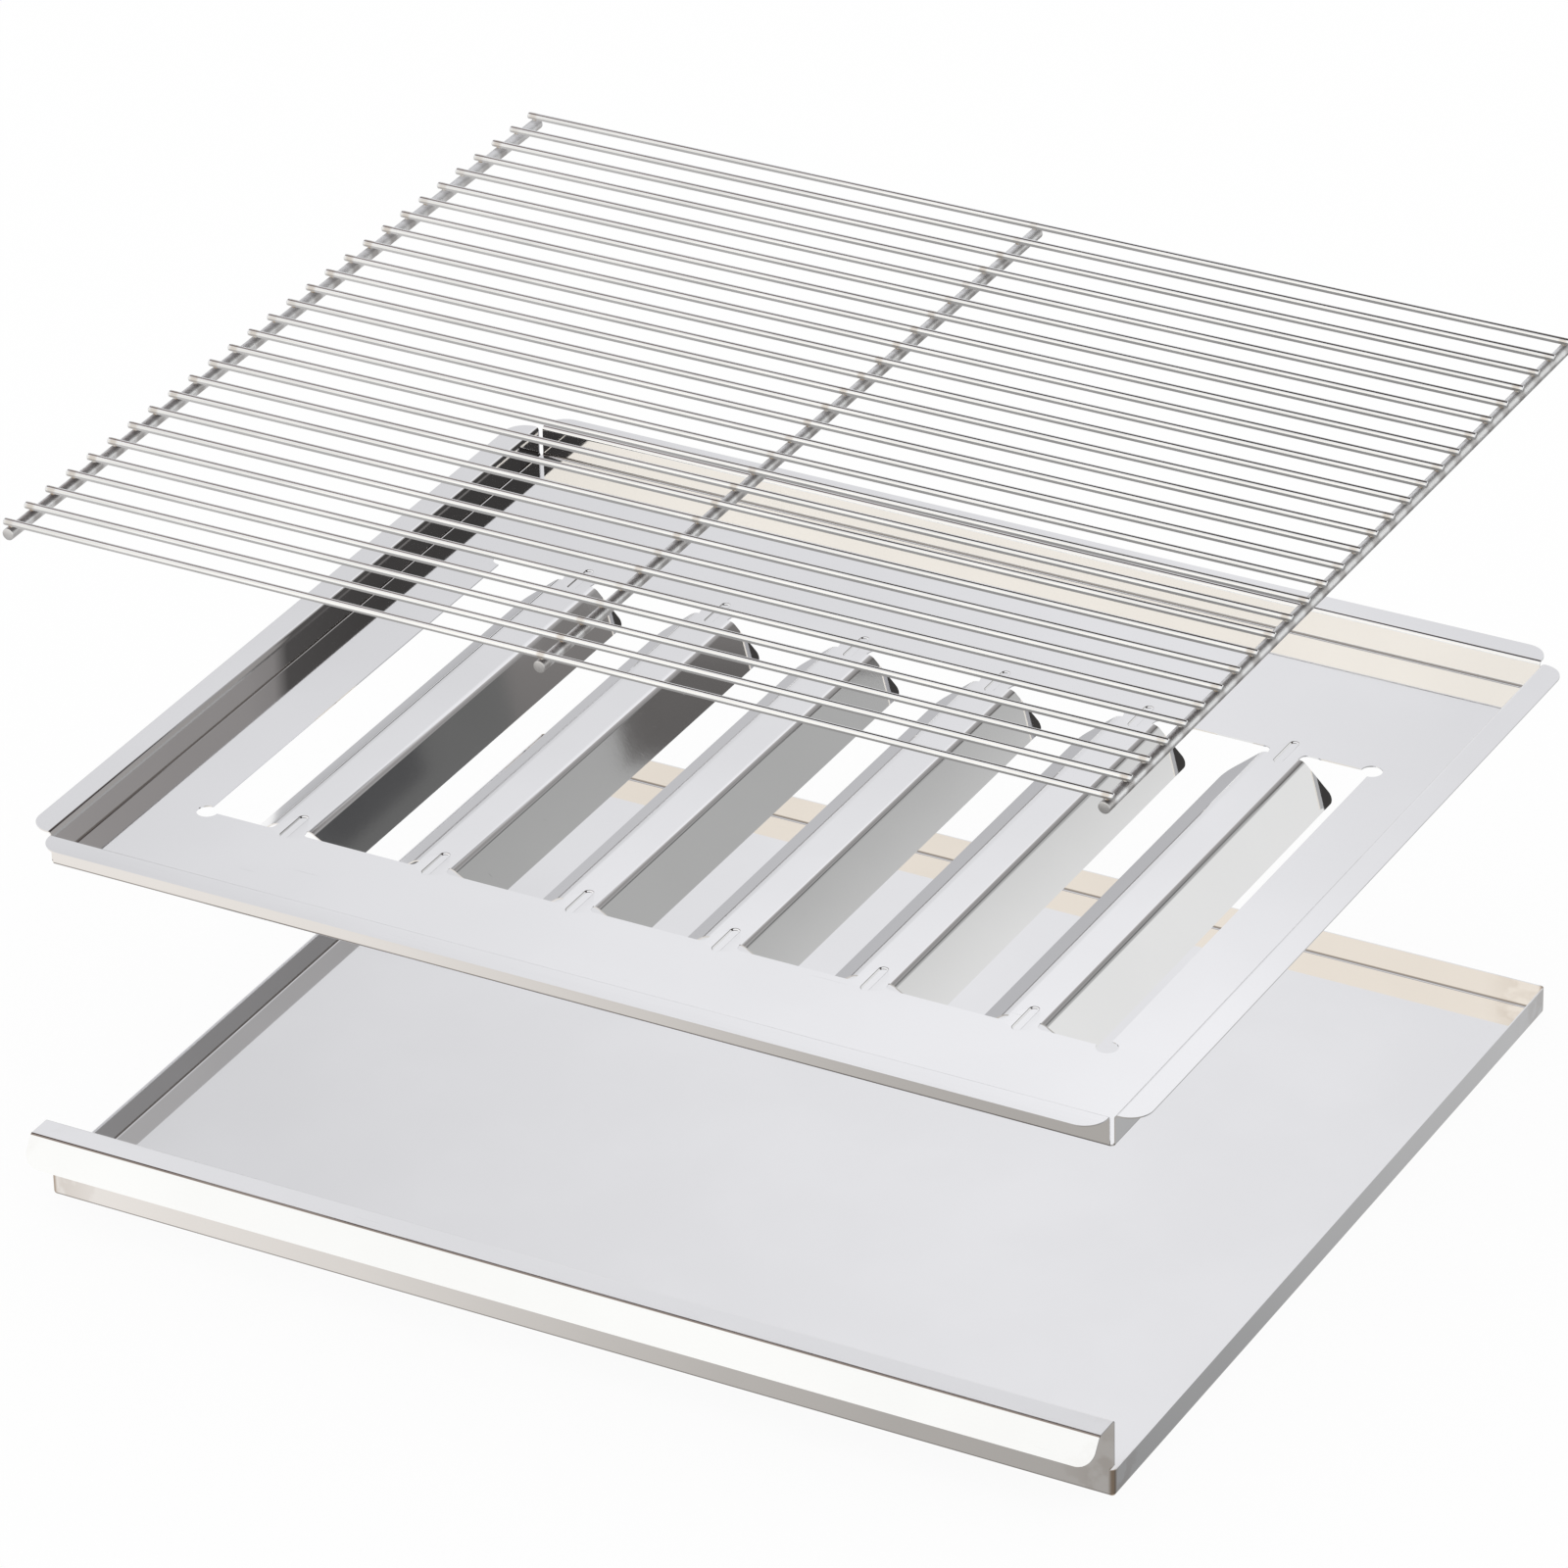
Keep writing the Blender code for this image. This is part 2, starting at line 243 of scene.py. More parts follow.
@dataclass(frozen=True)
class BrightSheet:
    """Bright rolled steel sheet: nearly a mirror, with faint rolling lines and scratches."""

    name: str
    floor_top: float
    shaded_bend_height: float
    colour: Colour = (0.86, 0.86, 0.87)
    roughness: float = 0.035
    cloud_scale: float = 9
    cloud_range: Span = (0.35, 0.7)
    cloud_shade: float = 0.975
    cloud_roughness: float = 0.02
    grain_scale: Triple = (30, 900, 900)
    grain_roughness: float = 0.03
    grain_depth: float = 0.002 * MM
    buckle_scale: float = 7
    buckle_depth: float = 0.12 * MM
    scratch_turn: float = math.radians(37)
    scratch_scale: Triple = (14, 900, 200)
    scratch_range: Span = (0.788, 0.82)
    scratch_roughness: float = 0.12
    scratch_in_grains: float = 1.5
    # Tone and reach of the shade painted into the bends between floor and walls.
    bend_shade_tone: Colour = (0.30, 0.28, 0.27)
    bend_shade_shares: tuple[float, float, float] = (0.04, 0.2, 0.55)
    lip_bend: Vector | None = None
    # Tone, reach and darkness of the shade painted along the handle's lip bend.
    lip_shade_tone: Colour = (0.24, 0.20, 0.18)
    lip_shade_line: Span = (0.78 * MM, 0.98 * MM)
    lip_shade_share: float = 0.95
    weld_middle: Vector | None = None
    weld_half: Vector | None = None
    weld_tint: Colour = (0.33, 0.25, 0.18)
    seam_tint: Span = (1.2 * MM, 4.2 * MM)
    seam_share: float = 0.9
    haze: Span = (4 * MM, 45 * MM)
    haze_share: float = 0.22
    haze_scale: float = 60
    haze_range: Span = (0.45, 0.6)

    def material(self) -> bpy.types.Material:
        """Builds the sheet's material.

        Returns:
            The material.
        """
        material, nodes = new_material(self.name)
        place = nodes.place()
        grain = nodes.noise(nodes.stretch(place, self.grain_scale), 1, 3)
        cloud = nodes.noise(place, self.cloud_scale, 4)
        scratched = nodes.stretch(place, self.scratch_scale, self.scratch_turn)
        scratch = nodes.remap(nodes.noise(scratched, 1, 1), *self.scratch_range)
        stain = nodes.remap(cloud, *STAIN_RANGE)
        rough = nodes.math("MULTIPLY_ADD", grain, self.grain_roughness, self.roughness)
        rough = nodes.math("MULTIPLY_ADD", stain, self.cloud_roughness, rough)
        rough = nodes.math("MULTIPLY_ADD", scratch, self.scratch_roughness, rough)
        clean = nodes.remap(cloud, *self.cloud_range)
        colour = nodes.mix(clean, shade(self.colour, self.cloud_shade), self.colour)
        # Painted shade: the bends between floor and walls are darkened in the colour.
        colour = nodes.mix(self.painted_bend_shade(nodes, place), colour, self.bend_shade_tone)
        # Painted shade along the bend between the handle's top and its lip.
        if self.lip_bend is not None:
            colour = nodes.mix(self.painted_lip_shade(nodes, place), colour, self.lip_shade_tone)
        if self.weld_middle is not None:
            colour = nodes.mix(self.heat(nodes, place), colour, self.weld_tint)
        buckles = nodes.bump(nodes.noise(place, self.buckle_scale, 1), self.buckle_depth)
        lines = nodes.math("MULTIPLY_ADD", scratch, -self.scratch_in_grains, grain)
        nodes.metal(colour, rough, nodes.bump(lines, self.grain_depth, buckles))
        return material

    def painted_bend_shade(self, nodes: Nodes, place: Socket) -> Socket:
        """Share of the painted shade: a dark line painted into the bends between floor and walls,
        standing for the shade that they mirror.

        Args:
            nodes: The material's nodes.
            place: Object coordinates.

        Returns:
            The share, highest in the middle of the bend.
        """
        start, full, fade = (part * self.shaded_bend_height for part in self.bend_shade_shares)
        rise = nodes.math("SUBTRACT", nodes.reach(place, UP), self.floor_top)
        above = nodes.remap(rise, start, full)
        below = nodes.remap(rise, fade, self.shaded_bend_height, 1, 0)
        return nodes.math("MULTIPLY", above, below)

    def painted_lip_shade(self, nodes: Nodes, place: Socket) -> Socket:
        """Share of the painted shade: a dark line painted along the bend between the handle's top
        and its lip, standing for the shade that it mirrors.

        Args:
            nodes: The material's nodes.
            place: Object coordinates.

        Returns:
            The share, highest in the middle of the bend.
        """
        offset = nodes.vector("SUBTRACT", place, self.lip_bend)
        away = nodes.length(nodes.vector("MULTIPLY", offset, BACK + UP))
        return nodes.remap(away, *self.lip_shade_line, self.lip_shade_share, 0)

    def heat(self, nodes: Nodes, place: Socket) -> Socket:
        """Share of the heat tint along the four welded upright corners.

        Args:
            nodes: The material's nodes.
            place: Object coordinates.

        Returns:
            The share, highest on the seams and faint for some way beside them.
        """
        folded = nodes.vector("SUBTRACT", place, self.weld_middle)
        folded = nodes.vector("ABSOLUTE", folded, (0, 0, 0))
        from_top = nodes.vector("SUBTRACT", folded, self.weld_half)
        away = nodes.length(nodes.vector("MAXIMUM", from_top, ONLY_ABOVE))
        seam = nodes.remap(away, *self.seam_tint, self.seam_share, 0)
        patches = nodes.remap(nodes.noise(place, self.haze_scale, 3), *self.haze_range)
        beside = nodes.remap(away, *self.haze, self.haze_share, 0)
        return nodes.math("MAXIMUM", seam, nodes.math("MULTIPLY", beside, patches))


@dataclass(frozen=True)
class PolishedWire:
    """Electropolished wire: bright, with drawing lines along it and heat tint at its welds."""

    name: str
    along: Vector
    weld_start: float
    weld_pitch: float
    colour: Colour = (0.86, 0.865, 0.875)
    roughness: float = 0.06
    cloud_scale: float = 22
    cloud_range: Span = (0.3, 0.7)
    cloud_shade: float = 0.92
    cloud_roughness: float = 0.06
    line_scale: float = 1500
    line_scale_along: float = 12
    line_roughness: float = 0.07
    line_depth: float = 0.006 * MM
    tint: Colour = (0.42, 0.34, 0.26)
    tint_reach: float = 3.4 * MM
    tint_core: float = 0.3
    tint_share: float = 0.45
    tint_range: Span = (0.3, 0.6)
    tint_least: float = 0.4

    def material(self) -> bpy.types.Material:
        """Builds the wire's material.

        Returns:
            The material.
        """
        material, nodes = new_material(self.name)
        place = nodes.place()
        finer = self.line_scale - self.line_scale_along
        across = Vector((1, 1, 1)) * self.line_scale - self.along * finer
        lines = nodes.noise(nodes.stretch(place, across), 1, 2)
        cloud = nodes.noise(place, self.cloud_scale, 3)
        stain = nodes.remap(cloud, *STAIN_RANGE)
        rough = nodes.math("MULTIPLY_ADD", lines, self.line_roughness, self.roughness)
        rough = nodes.math("MULTIPLY_ADD", stain, self.cloud_roughness, rough)
        clean = nodes.remap(cloud, *self.cloud_range)
        colour = nodes.mix(clean, shade(self.colour, self.cloud_shade), self.colour)
        colour = nodes.mix(self.heat(nodes, place, cloud), colour, self.tint)
        nodes.metal(colour, rough, nodes.bump(lines, self.line_depth))
        return material

    def heat(self, nodes: Nodes, place: Socket, cloud: Socket) -> Socket:
        """Share of the heat tint.

        Args:
            nodes: The material's nodes.
            place: Object coordinates.
            cloud: Noise that makes the tint uneven.

        Returns:
            The share, highest at each weld.
        """
        from_first = nodes.math("SUBTRACT", nodes.reach(place, self.along), self.weld_start)
        away = nodes.math("PINGPONG", from_first, self.weld_pitch / 2)
        core = self.tint_core * self.tint_reach
        near = nodes.remap(away, core, self.tint_reach, self.tint_share, 0)
        uneven = nodes.remap(cloud, *self.tint_range, self.tint_least, 1)
        return nodes.math("MULTIPLY", near, uneven)


@dataclass(frozen=True)
class WeldMetal:
    """Metal squeezed out of a resistance weld: rougher, with straw and brown heat tint."""

    name: str
    bright: Colour = (0.62, 0.60, 0.57)
    tinted: Colour = (0.36, 0.28, 0.20)
    patch_scale: float = 420
    patch_range: Span = (0.4, 0.62)
    rough_range: Span = (0.3, 0.7)
    roughness: Span = (0.2, 0.42)
    grain_scale: float = 1600
    grain_depth: float = 0.08 * MM

    def material(self) -> bpy.types.Material:
        """Builds the weld metal's material.

        Returns:
            The material.
        """
        material, nodes = new_material(self.name)
        place = nodes.place()
        patches = nodes.noise(place, self.patch_scale, 3)
        colour = nodes.mix(nodes.remap(patches, *self.patch_range), self.bright, self.tinted)
        rough = nodes.remap(patches, *self.rough_range, *self.roughness)
        grain = nodes.noise(place, self.grain_scale, 2)
        nodes.metal(colour, rough, nodes.bump(grain, self.grain_depth))
        return material


def of_kind(found: list, kind: type) -> list:
    """The items of one bmesh kind."""
    return [item for item in found if isinstance(item, kind)]


def middle_of(edges: Edges) -> Vector:
    """The mean of the edges' ends."""
    ends = dict.fromkeys(corner for edge in edges for corner in edge.verts)
    return sum((corner.co for corner in ends), Vector()) / len(ends)


def arc(centre: Vector, radius: float, start: float, end: float, steps: int) -> list[Vector]:
    """Points of an arc in the floor's plane, anticlockwise, with both ends."""
    angles = [start + (end - start) * step / steps for step in range(steps + 1)]
    return [centre + radius * Vector((math.cos(a), math.sin(a), 0)) for a in angles]


def closed_loop(shape: Mesh, points: list[Vector]) -> Edges:
    """Adds an outline's points and the edges round it, in order."""
    corners = [shape.verts.new(point) for point in points]
    return [shape.edges.new((a, b)) for a, b in zip(corners, corners[1:] + corners[:1])]


def round_off(shape: Mesh, geometry: list, radius: float, steps: int, affect: str) -> None:
    """Rounds the free corners of a sheet, or the edges of a solid.

    Args:
        shape: The bmesh.
        geometry: The corners or edges.
        radius: The rounding's radius.
        steps: How many facets it has.
        affect: VERTICES or EDGES.
    """
    bmesh.ops.bevel(
        shape,
        geom=geometry,
        offset=radius,
        offset_type="OFFSET",
        segments=steps,
        profile=0.5,
        affect=affect,
        material=-1,
    )


def add_piece(
    name: str,
    shape: Mesh,
    material: bpy.types.Material,
    body: Body,
    nodes: list[str],
    place: Vector | None = None,
) -> bpy.types.Object:
    """Makes a piece of the bmesh, with its place in its mesh.

    Args:
        name: The piece's name.
        shape: The finished bmesh, which is freed.
        material: The piece's finish.
        body: The body that it rides on.
        nodes: Names of the nodes that it stands for.
        place: Where the shape's own origin goes.

    Returns:
        The new object.
    """
    if place is not None:
        bmesh.ops.translate(shape, verts=shape.verts, vec=place)
    bmesh.ops.remove_doubles(shape, verts=shape.verts, dist=MERGE)
    bmesh.ops.recalc_face_normals(shape, faces=shape.faces)
    mesh = bpy.data.meshes.new(name)
    shape.to_mesh(mesh)
    shape.free()
    mesh.materials.append(material)
    mesh.shade_smooth()
    made = bpy.data.objects.new(name, mesh)
    bpy.context.scene.collection.objects.link(made)
    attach(made, body.value)
    if nodes:
        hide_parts(*nodes)
    log.info("%s: %d faces, rides on %s", name, len(mesh.polygons), body.value)
    return made


class FreeEdge:
    """The free edge of a sheet, drawn out flat or bent like in a press brake."""

    def __init__(
        self, shape: Mesh, edges: Edges, outward: Vector, towards: Vector, steps: int
    ) -> None:
        """Starts at an edge.

        Args:
            shape: The sheet's middle surface.
            edges: The edges to draw out.
            outward: The way that the sheet points there.
            towards: The side that it bends to.
            steps: How many facets a bend has.
        """
        self.shape = shape
        self.edges = edges
        self.outward = outward.copy()
        self.towards = towards.copy()
        self.steps = steps

    def draw(self, length: float) -> Corners:
        """Lengthens the sheet straight on.

        Args:
            length: By how much.

        Returns:
            The new corners.
        """
        made = bmesh.ops.extrude_edge_only(self.shape, edges=self.edges)["geom"]
        corners = of_kind(made, bmesh.types.BMVert)
        bmesh.ops.translate(self.shape, verts=corners, vec=self.outward * length)
        self.edges = of_kind(made, bmesh.types.BMEdge)
        return corners

    def bend(self, angle: float, radius: float, side: int = 1) -> None:
        """Bends the sheet.

        Args:
            angle: The bend's angle.
            radius: Its radius at the middle of the sheet.
            side: 1 to bend to its towards side, -1 to bend away from it.
        """
        towards = self.towards * side
        axis = self.outward.cross(towards)
        made = bmesh.ops.spin(
            self.shape,
            geom=self.edges,
            cent=middle_of(self.edges) + towards * radius,
            axis=axis,
            angle=angle,
            steps=self.steps,
            use_duplicate=False,
        )
        self.edges = of_kind(made["geom_last"], bmesh.types.BMEdge)
        turn = Matrix.Rotation(angle, 3, axis)
        self.outward = turn @ self.outward
        self.towards = turn @ self.towards


@dataclass
class Sheet:
    """Sizes of the sheet that the pan and the tray are folded from."""

    thickness: float = 0.8 * MM
    bend_inside: float = 1.5 * MM
    bend_steps: int = 6
    round_steps: int = 12
    sharp_angle: float = math.radians(35)

    @property
    def half(self) -> float:
        """Half the sheet's thickness."""
        return self.thickness / 2

    @property
    def bend(self) -> float:
        """Radius of a bend at the middle of the sheet."""
        return self.bend_inside + self.half

    def thicken(self, made: bpy.types.Object) -> None:
        """Gives a folded middle surface its thickness, and keeps the flats flat in shading.

        Args:
            made: The object of the middle surface.
        """
        made.data.set_sharp_from_angle(angle=self.sharp_angle)
        shape = bmesh.new()
        shape.from_mesh(made.data)
        for edge in shape.edges:
            edge.smooth = edge.smooth and not edge.is_boundary
        shape.to_mesh(made.data)
        shape.free()
        wall = made.modifiers.new("sheet", "SOLIDIFY")
        wall.thickness = self.thickness
        wall.offset = 0
        wall.use_even_offset = True
        shade = made.modifiers.new("flats", "WEIGHTED_NORMAL")
        shade.mode = "FACE_AREA"
        shade.weight = 100
        shade.keep_sharp = True


@dataclass
class DripTray:
    """Shallow tray with a tall front wall, folded over into a handle with a lip."""

    sheet: Sheet
    wall: float = 17 * MM
    corner_round: float = 0.3 * MM
    handle_top: float = 16.5 * MM
    handle_bend_inside: float = 1.1 * MM
    handle_lip: float = 19 * MM
    handle_lip_angle: float = math.radians(55)
    handle_lip_round: float = 10 * MM

    def __post_init__(self) -> None:
        """Takes the tray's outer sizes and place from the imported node."""
        self.node = "drip_tray"
        low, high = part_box(self.node)
        self.width = high.x - low.x
        self.full_height = high.z - low.z
        lip_reach = self.handle_lip * math.cos(self.handle_lip_angle)
        lip_reach += self.sheet.half * math.sin(self.handle_lip_angle)
        self.depth = high.y - low.y - self.handle_top - lip_reach
        self.place = Vector(((low.x + high.x) / 2, high.y - self.depth / 2, low.z))

    def corner_ring(self, outset: float, height: float) -> list[Vector]:
        """Outline of the basin at one height.

        Args:
            outset: How far the outline is outside the flat floor.
            height: Its height above the tray's underside.

        Returns:
            The outline's points, always the same number of them.
        """
        flat = Vector((self.width, self.depth, 0)) / 2
        flat -= Vector((1, 1, 0)) * (self.sheet.half + self.sheet.bend)
        radius = self.corner_round + outset
        points = []
        x, y = flat.x + outset - radius, flat.y + outset - radius
        for quarter, (side, end) in enumerate(((1, 1), (-1, 1), (-1, -1), (1, -1))):
            inset = Vector((side * x, end * y, height))
            start = quarter * QUARTER
            points += arc(inset, radius, start, start + QUARTER, self.sheet.bend_steps)
        return points

    def basin(self, shape: Mesh) -> Edges:
        """Builds the floor and four low walls.

        Args:
            shape: The tray's middle surface.

        Returns:
            The front wall's rim.
        """
        steps = self.sheet.bend_steps
        turns = [QUARTER * step / steps for step in range(steps + 1)]
        bend = self.sheet.bend
        stages = [(bend * math.sin(a), bend * (1 - math.cos(a))) for a in turns]
        stages.append((bend, self.wall - self.sheet.half))
        rim: Edges = []
        for outset, rise in stages:
            ring = closed_loop(shape, self.corner_ring(outset, self.sheet.half + rise))
            if rim:
                bmesh.ops.bridge_loops(shape, edges=rim + ring)
            else:
                bmesh.ops.contextual_create(shape, geom=ring)
            rim = ring
        long_enough = self.width / 2
        return [e for e in rim if e.calc_length() > long_enough and middle_of([e]).y < 0]

    def front(self, shape: Mesh, rim: Edges) -> None:
        """Builds the tall front wall, the handle's top and its lip.

        Args:
            shape: The tray's middle surface.
            rim: The front wall's rim.
        """
        sheet = self.sheet
        edge = FreeEdge(shape, rim, UP, -BACK, sheet.bend_steps)
        for corner in edge.draw(2 * sheet.bend):
            corner.co.x = math.copysign(self.width / 2, corner.co.x)
        low = self.wall + 2 * sheet.bend
        edge.draw(self.full_height - sheet.half - sheet.bend - low)
        edge.bend(QUARTER, sheet.bend)
        lip_bend = self.handle_bend_inside + sheet.half
        bend_run = lip_bend * math.tan(self.handle_lip_angle / 2)
        edge.draw(self.handle_top + sheet.half - sheet.bend - bend_run)
        bend_start = middle_of(edge.edges)
        edge.bend(self.handle_lip_angle, lip_bend)
        self.lip_bend_middle = self.place + (bend_start + middle_of(edge.edges)) / 2
        corners = edge.draw(self.handle_lip - bend_run)
        round_off(shape, corners, self.handle_lip_round, sheet.round_steps, "VERTICES")

    def build(self) -> None:
        """Makes the tray."""
        shape = bmesh.new()
        self.front(shape, self.basin(shape))
        seams = Vector((self.width / 2, self.depth / 2, self.wall))
        finish = BrightSheet(
            "tray_steel",
            floor_top=self.place.z + self.sheet.thickness,
            shaded_bend_height=self.sheet.bend_inside,
            lip_bend=self.lip_bend_middle,
            weld_middle=self.place,
            weld_half=seams,
        )
        steel = finish.material()
        made = add_piece(
            "tray_sheet", shape, steel, Body.TRAY, [self.node], self.place
        )
        self.sheet.thicken(made)


@dataclass
class DeflectorPan:
    """Flanged pan with an opening, spanned by roof-shaped deflectors lanced from its floor."""

    sheet: Sheet
    height: float = 19.5 * MM
    flange: float = 15.5 * MM
    flange_end_flat: float = 0.5 * MM
    opening_side: float = 48 * MM
    opening_front: float = 88 * MM
    opening_back: float = 127 * MM
    opening_relief: float = 6.25 * MM
    relief_steps: int = 24
    deflectors: int = 6
    strip: float = 22.5 * MM
    side_gap: float = 41 * MM
    cut_out: float = 11 * MM
    wing_angle: float = math.radians(38)
    wing_bend: float = 7.8 * MM
    wing_bend_steps: int = 14
    wing_lean: float = 4 * MM
    wing_round: float = 6 * MM
    wing_round_steps: int = 10
    neck_relief: float = 3.25 * MM
    neck_relief_into_strip: float = 1.5 * MM
    neck_steps: int = 14
    bead_length: float = 27 * MM
    bead_width: float = 6.4 * MM
    bead_depth: float = 0.8 * MM
    bead_slope: float = 1 * MM
    bead_slope_steps: int = 4
    bead_steps: int = 12
    bead_inside_front: float = 7 * MM
    bead_inside_back: float = 1.2 * MM

    def __post_init__(self) -> None:
        """Takes the pan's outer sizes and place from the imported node."""
        self.node = "deflector_pan"
        low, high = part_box(self.node)
        self.width = high.x - low.x - 2 * self.flange
        self.depth = high.y - low.y - 2 * self.flange
        middle = (low + high) / 2
        self.place = Vector((middle.x, middle.y, high.z - self.height + self.sheet.half))
        self.opening_width = self.width - 2 * self.opening_side
        self.spread = self.opening_width - 2 * self.side_gap - self.strip
        self.pitch = self.spread / (self.deflectors - 1)
        self.opening_low = -self.depth / 2 + self.opening_front
        self.opening_high = self.depth / 2 - self.opening_back
        self.centres = [-self.spread / 2 + self.pitch * n for n in range(self.deflectors)]
        wing_sheet = (self.pitch - self.strip - self.cut_out) / 2
        ease = (self.wing_bend - self.sheet.bend) * math.tan(self.wing_angle / 2)
        self.wing = wing_sheet - self.sheet.bend * self.wing_angle - ease
        self.flat = self.strip - 2 * ease
        self.relief_into_flat = self.neck_relief_into_strip - ease
        to_strip = self.neck_relief - self.neck_relief_into_strip
        self.wing_behind_relief = math.sqrt(self.neck_relief**2 - to_strip**2)

    def opening_corner(self, x: float) -> list[Vector]:
        """Round relief at the opening's outer front corner, from its side to its front edge."""
        centre = Vector((x, self.opening_low, 0))
        return arc(centre, self.opening_relief, QUARTER, 4 * QUARTER, self.relief_steps)

    def neck_corner(self, x: float) -> list[Vector]:
        """Round relief beside a deflector's neck, from its wing's end to the front edge.

        Args:
            x: Where the strip's flat ends.

        Returns:
            The relief's points.
        """
        beyond = self.neck_relief - self.relief_into_flat
        centre = Vector((x + beyond, self.opening_low + self.neck_relief, 0))
        wing_end = Vector((x, centre.y + self.wing_behind_relief, 0))
        relief = arc(centre, self.neck_relief, 2 * QUARTER, 3 * QUARTER, self.neck_steps)
        return [wing_end, *relief]

    def mirrored(self, points: list[Vector], across_x: int, to_back: bool) -> list[Vector]:
        """Mirrors a front left corner to another one, keeping the outline anticlockwise.

        Args:
            points: The front left corner.
            across_x: -1 to mirror it to the right side, else 1.
            to_back: Whether it goes to the back.

        Returns:
            The mirrored points.
        """
        both = self.opening_low + self.opening_high
        turned = [Vector((p.x * across_x, both - p.y if to_back else p.y, p.z)) for p in points]
        return turned if (across_x < 0) == to_back else turned[::-1]

    def gap_outline(self, number: int) -> tuple[list[Vector], int, int]:
        """Outline of the gap left of a deflector, the last one being right of them all.

        Args:
            number: 0 for the gap at the opening's left side, and so on.

        Returns:
            The outline's points, and the numbers of its left and right long edges.
        """
        at_left, at_right = number == 0, number == self.deflectors
        left = -self.opening_width / 2 if at_left else self.centres[number - 1] + self.flat / 2
        right = self.opening_width / 2 if at_right else self.centres[number] - self.flat / 2
        left_corner = (self.opening_corner if at_left else self.neck_corner)(left)
        right_corner = (self.opening_corner if at_right else self.neck_corner)(-right)
        points = list(left_corner)
        points += self.mirrored(right_corner, -1, False)
        right_edge = len(points) - 1
        points += self.mirrored(right_corner, -1, True)
        points += self.mirrored(left_corner, 1, True)
        return points, len(points) - 1, right_edge

    def bead_outline(self, x: float, y: float) -> list[Vector]:
        """Stadium outline of one bead, with its long side along Y.

        Args:
            x: The bead's middle.
            y: The bead's middle.

        Returns:
            The outline's points.
        """
        radius = self.bead_width / 2
        half = self.bead_length / 2 - radius
        far = arc(Vector((x, y + half, 0)), radius, 0, 2 * QUARTER, self.bead_steps)
        near = arc(Vector((x, y - half, 0)), radius, 2 * QUARTER, 4 * QUARTER, self.bead_steps)
        return far + near

    def press_bead(self, shape: Mesh, edges: Edges) -> None:
        """Presses the sheet inside an outline down, with rounded shoulders.

        Args:
            shape: The pan's middle surface.
            edges: The outline.
        """
        centre = middle_of(edges)
        half = self.bead_length / 2 - self.bead_width / 2
        steps = self.bead_slope_steps
        for step in range(steps):
            sunk = [(1 - math.cos(math.pi * (step + n) / steps)) / 2 for n in (0, 1)]
            made = bmesh.ops.extrude_edge_only(shape, edges=edges)["geom"]
            for corner in of_kind(made, bmesh.types.BMVert):
                along = max(-half, min(half, corner.co.y - centre.y))
                inward = Vector((centre.x, centre.y + along, corner.co.z)) - corner.co
                corner.co += inward.normalized() * (self.bead_slope / steps)
                corner.co -= UP * self.bead_depth * (sunk[1] - sunk[0])
            edges = of_kind(made, bmesh.types.BMEdge)
        bmesh.ops.contextual_create(shape, geom=edges)

    def fold_wing(self, shape: Mesh, edge: bmesh.types.BMEdge, outward: Vector) -> None:
        """Bends one wing down, with leaning ends and rounded corners.

        Args:
            shape: The pan's middle surface.
            edge: The strip's long edge.
            outward: The way from the strip to the wing.
        """
        wing = FreeEdge(shape, [edge], outward, -UP, self.wing_bend_steps)
        wing.bend(self.wing_angle, self.wing_bend)
        corners = wing.draw(self.wing)
        middle = middle_of(wing.edges)
        for corner in corners:
            corner.co.y -= math.copysign(self.wing_lean, corner.co.y - middle.y)
        round_off(shape, corners, self.wing_round, self.wing_round_steps, "VERTICES")

    def fold_walls(self, shape: Mesh, floor_edges: Edges) -> None:
        """Folds up the four walls, and each one's flange out, with rounded ends.

        Args:
            shape: The pan's middle surface.
            floor_edges: The four edges of the flat floor.
        """
        bend = self.sheet.bend
        flange = self.flange + self.sheet.half - bend
        for edge in floor_edges:
            middle = middle_of([edge])
            across = RIGHT if abs(middle.x) > abs(middle.y) else BACK
            outward = across * math.copysign(1, middle.dot(across))
            wall = FreeEdge(shape, [edge], outward, UP, self.sheet.bend_steps)
            wall.bend(QUARTER, bend)
            wall.draw(self.height - self.sheet.thickness - 2 * bend)
            wall.bend(QUARTER, bend, side=-1)
            radius = flange - self.flange_end_flat
            corners = wall.draw(flange)
            round_off(shape, corners, radius, self.sheet.round_steps, "VERTICES")

    def build(self) -> None:
        """Makes the pan."""
        shape = bmesh.new()
        side = self.width / 2 - self.sheet.half - self.sheet.bend
        end = self.depth / 2 - self.sheet.half - self.sheet.bend
        square = ((-1, -1), (1, -1), (1, 1), (-1, 1))
        floor_edges = closed_loop(shape, [Vector((x * side, y * end, 0)) for x, y in square])
        outlines = list(floor_edges)
        wings = []
        for number in range(self.deflectors + 1):
            points, left_edge, right_edge = self.gap_outline(number)
            edges = closed_loop(shape, points)
            outlines += edges
            if number > 0:
                wings.append((edges[left_edge], RIGHT))
            if number < self.deflectors:
                wings.append((edges[right_edge], -RIGHT))
        front_row = self.opening_low + self.bead_inside_front
        rows = (front_row, self.opening_high - self.bead_inside_back)
        beads = [closed_loop(shape, self.bead_outline(x, y)) for x in self.centres for y in rows]
        for bead in beads:
            outlines += bead
        bmesh.ops.triangle_fill(shape, edges=outlines, use_beauty=True, normal=UP)
        for bead in beads:
            self.press_bead(shape, bead)
        for edge, outward in wings:
            self.fold_wing(shape, edge, outward)
        self.fold_walls(shape, floor_edges)
        finish = BrightSheet(
            "pan_steel",
            floor_top=self.place.z + self.sheet.half,
            shaded_bend_height=self.sheet.bend_inside,
        )
        steel = finish.material()
        made = add_piece(
            "pan_sheet", shape, steel, Body.PAN, [self.node], self.place
        )
        self.sheet.thicken(made)


